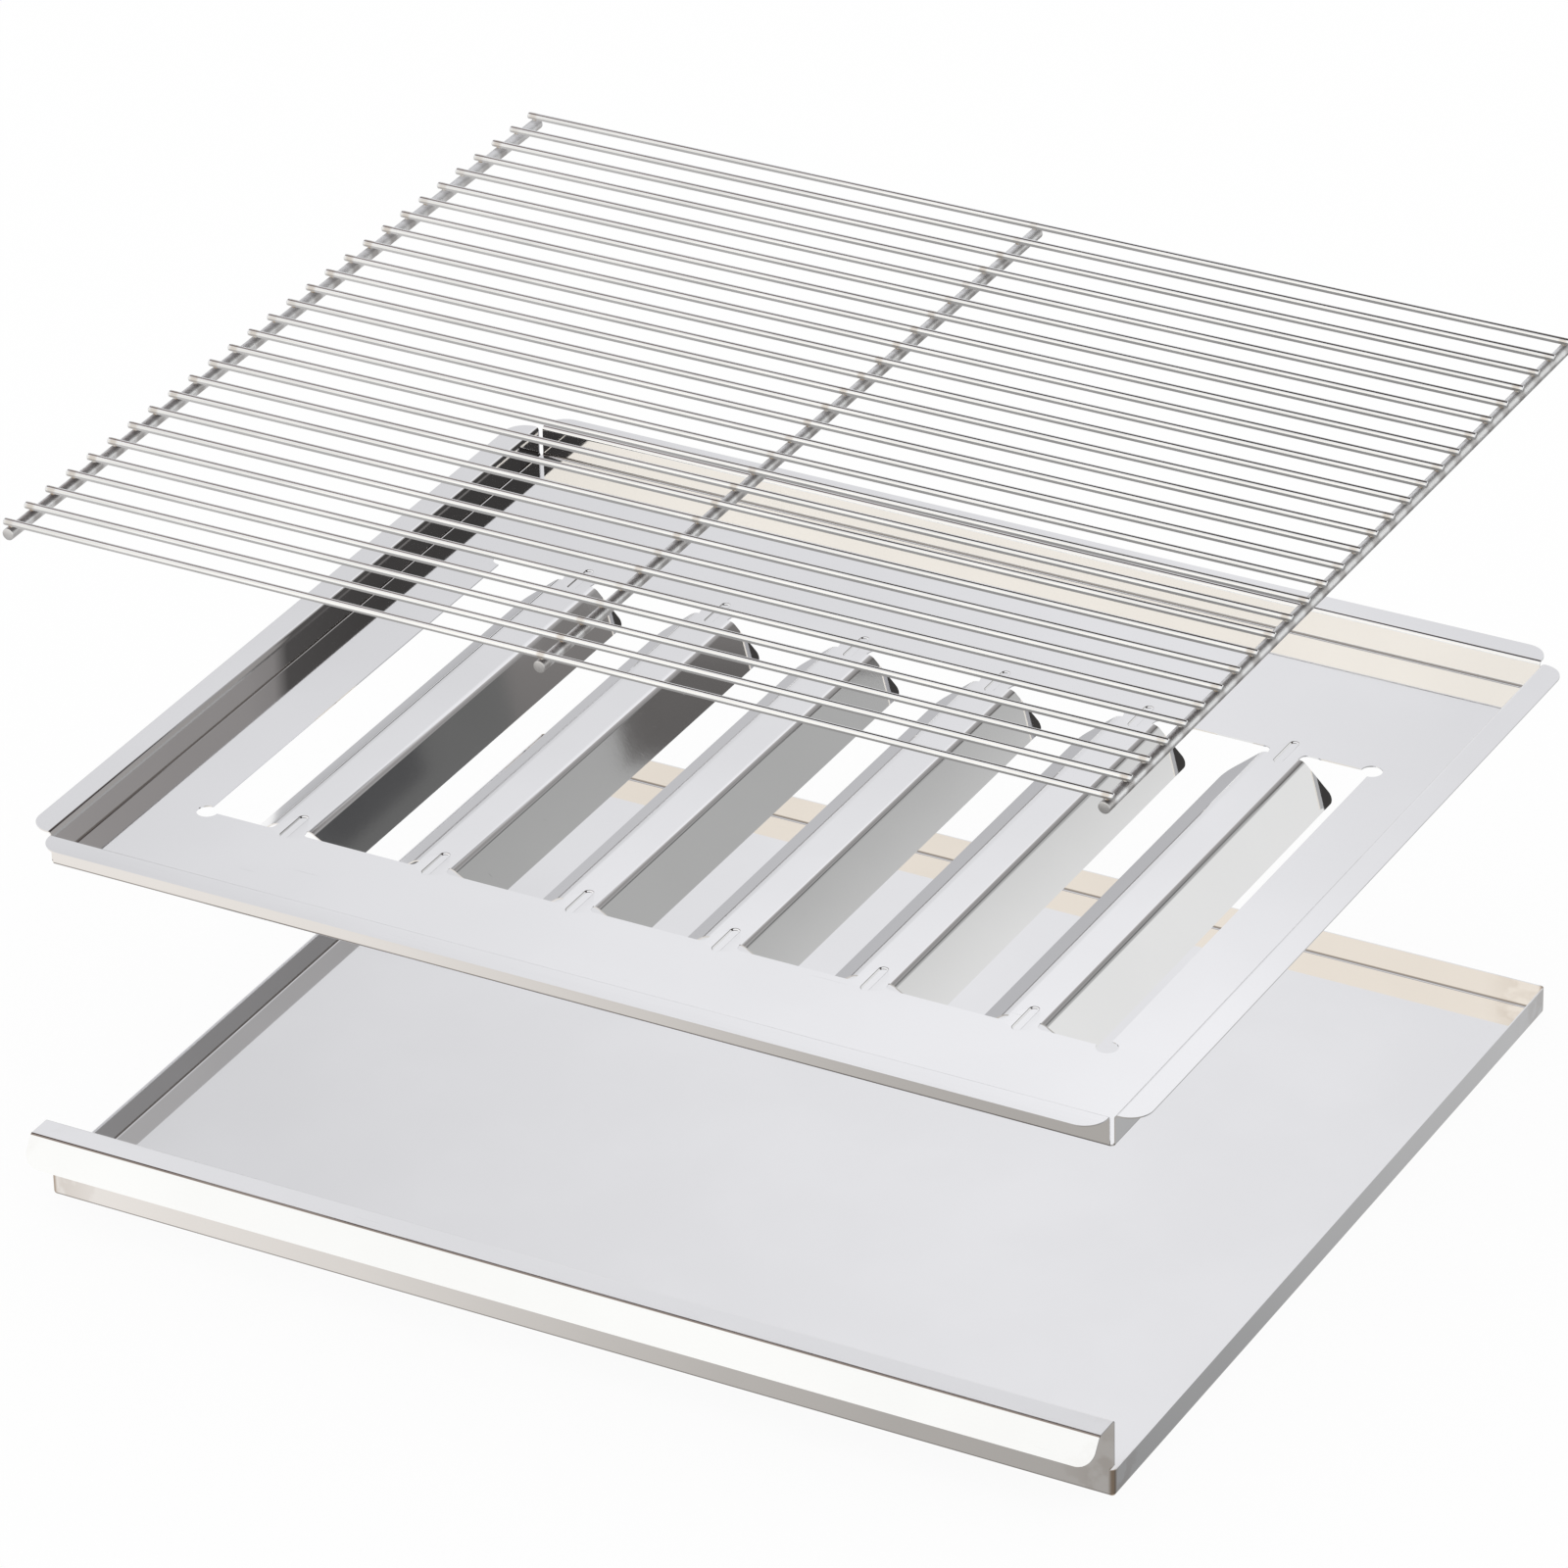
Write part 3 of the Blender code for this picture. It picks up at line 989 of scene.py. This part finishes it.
@dataclass
class CookingGrate:
    """Thin wires side to side, welded to three thicker ones."""

    sides: int = 32
    end_rings: int = 3
    thin_end_round: float = 0.8 * MM
    thick_end_round: float = 0.5 * MM
    sharp_angle: float = math.radians(40)
    nugget_width: float = 1.5 * MM
    nugget_length: float = 1.15 * MM
    nugget_rise: float = 0.55 * MM
    nugget_facets: tuple[int, int] = (12, 6)

    def __post_init__(self) -> None:
        """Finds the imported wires."""
        names = sorted(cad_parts)
        self.thin = [name for name in names if name.startswith("grate_rod")]
        self.thick = [name for name in names if name.startswith("cross_rod")]

    def middle(self, node: str) -> Vector:
        """The middle of a packed wire."""
        return sum(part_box(node), Vector()) / 2

    def wire(
        self, node: str, along: Vector, end_round: float, material: bpy.types.Material
    ) -> tuple[Vector, float]:
        """Makes one wire where its node is, with rounded ends.

        Args:
            node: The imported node.
            along: The way that the wire runs.
            end_round: Radius round its two ends.
            material: Its finish.

        Returns:
            The wire's middle and its diameter.
        """
        low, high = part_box(node)
        size = high - low
        length, diameter = size.dot(along), size.z
        shape = bmesh.new()
        bmesh.ops.create_cone(
            shape,
            cap_ends=True,
            segments=self.sides,
            radius1=diameter / 2,
            radius2=diameter / 2,
            depth=length,
        )
        rims = [e for e in shape.edges if abs(e.verts[0].co.z - e.verts[1].co.z) < length / 2]
        round_off(shape, rims, end_round, self.end_rings, "EDGES")
        turn = UP.rotation_difference(along).to_matrix()
        bmesh.ops.rotate(shape, verts=shape.verts, cent=Vector(), matrix=turn)
        middle = (low + high) / 2
        name = f"polished_{node}"
        made = add_piece(name, shape, material, Body.GRATE, [node], middle)
        made.data.set_sharp_from_angle(angle=self.sharp_angle)
        made.visible_glossy = False
        return middle, diameter

    def weld(self, shape: Mesh, place: Vector, gap: float) -> None:
        """Adds the metal squeezed out round one crossing: a flattened ring.

        Args:
            shape: The bmesh of all the welds.
            place: The middle of the crossing, between the two wires.
            gap: The clearance that the weld fills.
        """
        round_it, up_it = self.nugget_facets
        made = bmesh.ops.create_uvsphere(shape, u_segments=round_it, v_segments=up_it, radius=1)
        made = made["verts"]
        size = Vector((self.nugget_width, self.nugget_length, gap / 2 + self.nugget_rise))
        bmesh.ops.scale(shape, verts=made, vec=size)
        bmesh.ops.translate(shape, verts=made, vec=place)

    def build(self) -> None:
        """Makes the wires and the welds."""
        columns = [self.middle(name).x for name in self.thick]
        rows = [self.middle(name).y for name in self.thin]
        thin_finish = PolishedWire("bright_thin_wire", RIGHT, columns[0], columns[1] - columns[0])
        thick_finish = PolishedWire(
            "bright_thick_wire",
            BACK,
            rows[0],
            rows[1] - rows[0],
            tint=(0.2, 0.175, 0.16),
            tint_reach=6.2 * MM,
            tint_share=0.55,
            roughness=0.34,
        )
        steel = thin_finish.material(), thick_finish.material()
        thin = [self.wire(n, RIGHT, self.thin_end_round, steel[0]) for n in self.thin]
        thick = [self.wire(n, BACK, self.thick_end_round, steel[1]) for n in self.thick]
        shape = bmesh.new()
        for upper, upper_diameter in thin:
            for lower, lower_diameter in thick:
                top = lower.z + lower_diameter / 2
                bottom = upper.z - upper_diameter / 2
                place = Vector((lower.x, upper.y, (top + bottom) / 2))
                self.weld(shape, place, bottom - top)
        melted = WeldMetal("weld_metal").material()
        welds = add_piece("grate_welds", shape, melted, Body.GRATE, [])
        welds.visible_glossy = False


@dataclass(frozen=True)
class Card:
    """A card of the studio that only the polished steel mirrors.

    Its tones are stops of a place in metres along a direction, and a brightness.
    """

    name: str
    corner: Vector
    across: Vector
    upward: Vector
    stops: Stops
    tint: Colour = (1.0, 1.0, 1.02)
    along: Vector = RIGHT
    rise: Stops = ()
    one_sided: bool = False

    def build(self) -> None:
        """Makes the card, facing the way of across x upward."""
        shape = bmesh.new()
        bmesh.ops.create_grid(shape, x_segments=1, y_segments=1, size=0.5)
        facing = self.across.cross(self.upward).normalized()
        turn = Matrix((self.across, self.upward, facing)).transposed().to_4x4()
        middle = self.corner + (self.across + self.upward) / 2
        bmesh.ops.transform(shape, matrix=Matrix.Translation(middle) @ turn, verts=shape.verts)
        made = stage_mesh(self.name, shape, self.material())
        made.visible_camera = False
        made.visible_diffuse = False
        made.visible_shadow = False
        made.visible_transmission = False

    def ramp(self, nodes: Nodes, stops: Stops, along: Vector) -> Socket:
        """Brightness along a direction, as a share of RAMP_TOP.

        Args:
            nodes: The material's nodes.
            stops: Places in metres and their brightness.
            along: The direction.

        Returns:
            The share.
        """
        first, last = stops[0][0], stops[-1][0]
        way = nodes.reach(nodes.place(), along)
        limits = {"Value": way, "From Min": first, "From Max": last}
        share = nodes.add("ShaderNodeMapRange", limits)
        node = nodes.add("ShaderNodeValToRGB", {0: share.outputs[0]})
        points = node.color_ramp.elements
        while len(points) < len(stops):
            points.new(0.5)
        for point, (reach, tone) in zip(points, stops):
            point.position = (reach - first) / (last - first)
            point.color = (*[tone / RAMP_TOP] * 3, 1)
        return node.outputs[0]

    def material(self) -> bpy.types.Material:
        """Builds the card's glow.

        Returns:
            The material.
        """
        material, nodes = new_material(self.name)
        tone = self.ramp(nodes, self.stops, self.along)
        if self.rise:
            tone = nodes.math("MULTIPLY", tone, self.ramp(nodes, self.rise, UP))
            tone = nodes.math("MULTIPLY", tone, RAMP_TOP)
        strength = nodes.math("MULTIPLY", tone, RAMP_TOP)
        glow = nodes.add("ShaderNodeEmission", {"Color": (*self.tint, 1), "Strength": strength})
        surface = glow.outputs[0]
        if self.one_sided:
            clear = nodes.add("ShaderNodeBsdfTransparent").outputs[0]
            behind = nodes.add("ShaderNodeNewGeometry").outputs["Backfacing"]
            both = nodes.add("ShaderNodeMixShader", {0: behind, 1: surface, 2: clear})
            surface = both.outputs[0]
        nodes.add("ShaderNodeOutputMaterial", {"Surface": surface})
        return material


def stage_mesh(name: str, shape: Mesh, material: bpy.types.Material) -> bpy.types.Object:
    """Makes an object of the studio, which isn't part of the inserts.

    Args:
        name: The object's name.
        shape: Its bmesh, which is freed.
        material: Its material.

    Returns:
        The new object.
    """
    mesh = bpy.data.meshes.new(name)
    shape.to_mesh(mesh)
    shape.free()
    mesh.materials.append(material)
    made = bpy.data.objects.new(name, mesh)
    bpy.context.scene.collection.objects.link(made)
    return made


@dataclass
class Studio:
    """Plain pale floor, soft light all round and the cards that the steel mirrors."""

    floor_half: float = 6.0
    floor_colour: Colour = (0.98, 0.98, 0.98)
    floor_glow: float = 0.92
    world_strength: float = 0.98

    def seen(self, nodes: Nodes) -> Socket:
        """1 for rays that show the background: from the camera, a mirror or through glass.

        Args:
            nodes: The material's or the world's nodes.

        Returns:
            1 or 0.
        """
        path = nodes.add("ShaderNodeLightPath")
        shown = path.outputs["Is Camera Ray"]
        for kind in ("Is Glossy Ray", "Is Transmission Ray"):
            shown = nodes.math("MAXIMUM", shown, path.outputs[kind])
        return shown

    def light(self) -> None:
        """Sets the world: white where it is seen, and soft light of a plain level."""
        world = bpy.data.worlds.new("soft_studio")
        bpy.context.scene.world = world
        world.use_nodes = True
        world.node_tree.nodes.clear()
        nodes = Nodes(world.node_tree)
        strength = nodes.remap(self.seen(nodes), 0, 1, self.world_strength, 1.0)
        sky = nodes.add("ShaderNodeBackground", {"Color": (1, 1, 1, 1), "Strength": strength})
        nodes.add("ShaderNodeOutputWorld", {"Surface": sky.outputs[0]})

    def floor(self) -> None:
        """Makes the floor, which is nearly white and keeps the object's shadow."""
        shape = bmesh.new()
        bmesh.ops.create_grid(shape, x_segments=1, y_segments=1, size=self.floor_half)
        material, nodes = new_material("floor")
        paper = nodes.add("ShaderNodeBsdfDiffuse", {"Color": (*self.floor_colour, 1)})
        white = nodes.add("ShaderNodeEmission", {"Color": (1, 1, 1, 1), "Strength": 1.0})
        share = nodes.math("MULTIPLY", self.seen(nodes), self.floor_glow)
        both = nodes.add(
            "ShaderNodeMixShader", {0: share, 1: paper.outputs[0], 2: white.outputs[0]}
        )
        nodes.add("ShaderNodeOutputMaterial", {"Surface": both.outputs[0]})
        stage_mesh("floor", shape, material)

    def behind_cards(self) -> tuple[Card, ...]:
        """The cards behind the stack, from the table up to overhead.

        Returns:
            The cards.
        """
        brown = (1.05, 1.0, 0.97)
        dark_warm = (1.2, 1.0, 0.95)
        slope_warm = (1.03, 1.0, 0.99)
        dark_slope = (
            (0.535, 0.84), (0.565, 0.56), (0.66, 0.44), (0.8, 0.37), (0.95, 0.3), (1.08, 0.33),
            (1.2, 0.4), (1.35, 0.48), (1.6, 0.52),
        )
        dark_tones = ((-1.3, 0.24), (-0.9, 0.13), (-0.6, 0.06), (0.5, 0.05))
        return (
            Card(
                "card_behind_left", Vector((-2.4, 1.15, 0.1)), RIGHT * 2.45, UP * 1.42,
                (
                    (-1.3, 0.71), (-1.1, 0.76), (-0.8, 0.83), (-0.5, 0.87), (-0.3, 0.92),
                    (-0.1, 0.86),
                ),
                rise=(
                    (0.85, 0.97), (0.95, 1.0), (1.03, 1.06), (1.1, 1.1), (1.23, 1.12),
                    (1.32, 0.5), (1.42, 0.26),
                ),
            ),
            Card(
                "card_behind_right", Vector((0.05, 1.15, 0.1)), RIGHT * 2.4, UP * 1.42,
                (
                    (-0.9, 0.3), (-0.53, 0.3), (-0.49, 0.15), (-0.385, 0.15), (-0.37, 0.42),
                    (-0.25, 0.46), (-0.168, 0.47), (-0.12, 0.48), (-0.076, 0.53), (0.015, 0.71),
                    (0.107, 0.88), (0.3, 0.9),
                ),
                tint=(1, 1, 0.985), along=Vector((1, 0, -0.73)),
            ),
            Card(
                "card_dark_low", Vector((0.1, 1.149, 0.4)), RIGHT * 0.33,
                Vector((0.035, 0, 0.635)),
                ((0.1, 0.21), (0.3, 0.21), (0.36, 0.19), (0.385, 0.135), (0.445, 0.12)),
                tint=brown,
            ),
            Card(
                "card_dark_high", Vector((0.345, 1.148, 1.13)), RIGHT * 0.06,
                Vector((0.0876, 0, 0.13)), ((0.3, 0.09), (0.485, 0.08)),
            ),
            Card(
                "card_dark_slant", Vector((-0.069, 1.147, 0.85)), RIGHT * 0.39,
                Vector((-0.48, 0, 0.675)), dark_slope, tint=slope_warm,
                along=Vector((1, 0, 0.711)),
            ),
            Card(
                "card_dark_middle", Vector((-0.1, 1.146, 1.0)), RIGHT * 0.4, UP * 0.53,
                dark_slope, tint=slope_warm, along=Vector((1, 0, 0.711)),
            ),
            Card(
                "card_dark_top", Vector((-2.4, 1.145, 1.44)), RIGHT * 5, UP * 0.09, dark_tones,
                tint=dark_warm,
            ),
            Card(
                "card_above_behind", Vector((-2.4, 1.15, 1.53)), RIGHT * 5,
                Vector((0, -0.5, 0.85)), dark_tones, tint=dark_warm,
            ),
            Card(
                "card_overhead", Vector((-2.4, 0.65, 2.38)), RIGHT * 5, Vector((0, -0.75, 0.3)),
                dark_tones, tint=dark_warm,
            ),
        )

    def front_cards(self) -> tuple[Card, ...]:
        """The cards in front of the stack.

        Returns:
            The cards.
        """
        return (
            Card(
                "card_in_front_low", Vector((-2.6, -1.6, 0.05)), RIGHT * 4, UP * 1.05,
                ((-1.6, 0.9), (-1.3, 1.04), (0.5, 1.0), (1.2, 0.9)), tint=(1.1, 1.1, 1.07),
            ),
            Card(
                "card_in_front_high", Vector((-2.6, -1.6, 1.1)), RIGHT * 4, UP * 1.05,
                ((-1.6, 0.85), (-1.35, 1.0), (0.5, 1.0), (1.2, 0.9)), tint=(1.18, 1.12, 1.01),
            ),
        )

    def table_cards(self) -> tuple[Card, ...]:
        """The cards on the table round the tray.

        Returns:
            The cards.
        """
        return (
            Card(
                "card_table_front", Vector((-2.0, -1.55, 0.0006)), RIGHT * 4, BACK * 1.2775,
                (
                    (-0.5, 0.92), (-0.32, 0.9), (-0.22, 0.88), (-0.12, 0.83), (-0.02, 0.74),
                    (0.08, 0.62), (0.18, 0.52), (0.28, 0.46), (0.6, 0.36),
                ),
                tint=(1.05, 1.0, 0.94), along=Vector((1, -0.3, 0)),
            ),
            Card(
                "card_table_right", Vector((0.3353, -0.2725, 0.0006)), RIGHT * 1.5, BACK * 1.4,
                ((-0.3, 0.31), (-0.1, 0.38), (0.0, 0.44), (0.25, 0.54), (0.8, 0.6)),
                tint=(1, 1, 1), along=BACK,
            ),
            Card(
                "card_table_behind", Vector((-2.0, 0.287, 0.0006)), RIGHT * 2.337, BACK * 0.83,
                ((-0.8, 0.37), (-0.635, 0.38), (-0.6, 0.58), (-0.5, 0.565), (-0.2, 0.49)),
                tint=(1, 1, 1.03),
            ),
        )

    def near_cards(self) -> tuple[Card, ...]:
        """The cards inside the stack.

        The photograph joins pictures of single inserts, so they stand between the tray and
        the pan and at their walls, where the real tray and pan saw the studio.

        Returns:
            The cards.
        """
        brown = (1.05, 1.0, 0.97)
        return (
            Card(
                "card_over_tray", Vector((-0.75, -0.03, 0.19)), BACK * 0.712, RIGHT * 1.1,
                (
                    (-0.68, 0.7), (-0.46, 0.74), (-0.2, 0.83), (0.0, 0.88), (0.15, 0.9),
                    (0.4, 0.88), (0.6, 0.84),
                ),
                along=Vector((1, 0.554, 0)), one_sided=True,
            ),
            Card(
                "card_over_handle", Vector((-0.75, -0.108, 0.19)), BACK * 0.078, RIGHT * 1.1,
                ((-0.45, 0.87), (0.2, 0.81)), one_sided=True,
            ),
            Card(
                "card_behind_wings", Vector((-0.3, 0.159, 0.2095)), BACK * 0.12, RIGHT * 0.62,
                ((-1, 0.05), (1, 0.05)), tint=brown, one_sided=True,
            ),
            Card(
                "card_by_tray_left", Vector((-0.32, 0.33, 0.0012)), -BACK * 0.62, UP * 0.036,
                ((-0.27, 0.42), (-0.1, 0.38), (0.1, 0.34), (0.25, 0.25)), tint=(1.02, 1.0, 0.99),
                along=BACK, rise=((0.0, 0.78), (0.0165, 0.78), (0.0175, 1.3), (0.04, 1.3)),
                one_sided=True,
            ),
            Card(
                "card_by_tray_back", Vector((0.335, 0.255, 0.0012)), -RIGHT * 0.69, UP * 0.038,
                ((-0.3, 0.97), (0.3, 1.04)), tint=(1.09, 1.0, 0.87), one_sided=True,
            ),
            Card(
                "card_under_grate", Vector((-0.36, -0.3, 0.412)), RIGHT * 0.72, BACK * 0.62,
                ((-0.36, 0.6), (-0.1, 0.42), (0.2, 0.33), (0.36, 0.3)), tint=(1.02, 1.0, 0.98),
                one_sided=True,
            ),
            Card(
                "card_by_pan_left", Vector((-0.3127, 0.31, 0.2125)), -BACK * 0.6, UP * 0.04,
                (
                    (-0.26, 0.38), (-0.15, 0.35), (-0.03, 0.32), (0.0, 0.28), (0.015, 0.09),
                    (0.12, 0.06), (0.28, 0.05),
                ),
                tint=brown, along=BACK, one_sided=True,
            ),
        )

    def build(self) -> None:
        """Builds the studio."""
        bpy.context.scene.view_settings.view_transform = "Standard"
        self.light()
        self.floor()
        groups = (self.behind_cards(), self.front_cards(), self.table_cards(), self.near_cards())
        for card in sum(groups, ()):
            card.build()


@dataclass
class ProductCamera:
    """The photograph's viewing angle."""

    target: Triple = (-0.03335, 0.04532, 0.1809)
    azimuth: float = math.radians(29.16913)
    elevation: float = math.radians(29.79427)
    roll: float = math.radians(-1.33119)
    distance: float = 4.93241
    lens: float = 199.602
    sensor: float = 36.0
    clip_near: float = 0.05
    clip_far: float = 60

    def build(self) -> None:
        """Makes the camera, aimed near the middle of the stack."""
        level = math.cos(self.elevation)
        sideways, forward = math.sin(self.azimuth), math.cos(self.azimuth)
        away = Vector((level * sideways, -level * forward, math.sin(self.elevation)))
        right = Vector((forward, sideways, 0))
        upward = away.cross(right)
        turned = right * math.cos(self.roll) + upward * math.sin(self.roll)
        raised = upward * math.cos(self.roll) - right * math.sin(self.roll)
        data = bpy.data.cameras.new("product_camera")
        data.lens = self.lens
        data.sensor_width = self.sensor
        data.clip_start, data.clip_end = self.clip_near, self.clip_far
        camera = bpy.data.objects.new("product_camera", data)
        bpy.context.scene.collection.objects.link(camera)
        axes = Matrix((turned, raised, away)).transposed().to_4x4()
        place = Vector(self.target) + away * self.distance
        camera.matrix_world = Matrix.Translation(place) @ axes
        bpy.context.scene.camera = camera


def main() -> None:
    """Builds the camera, the studio and the three inserts."""
    ProductCamera().build()
    Studio().build()
    sheet = Sheet()
    DripTray(sheet).build()
    DeflectorPan(sheet).build()
    CookingGrate().build()
    bpy.context.view_layer.update()


if __name__ == "__main__":
    main()
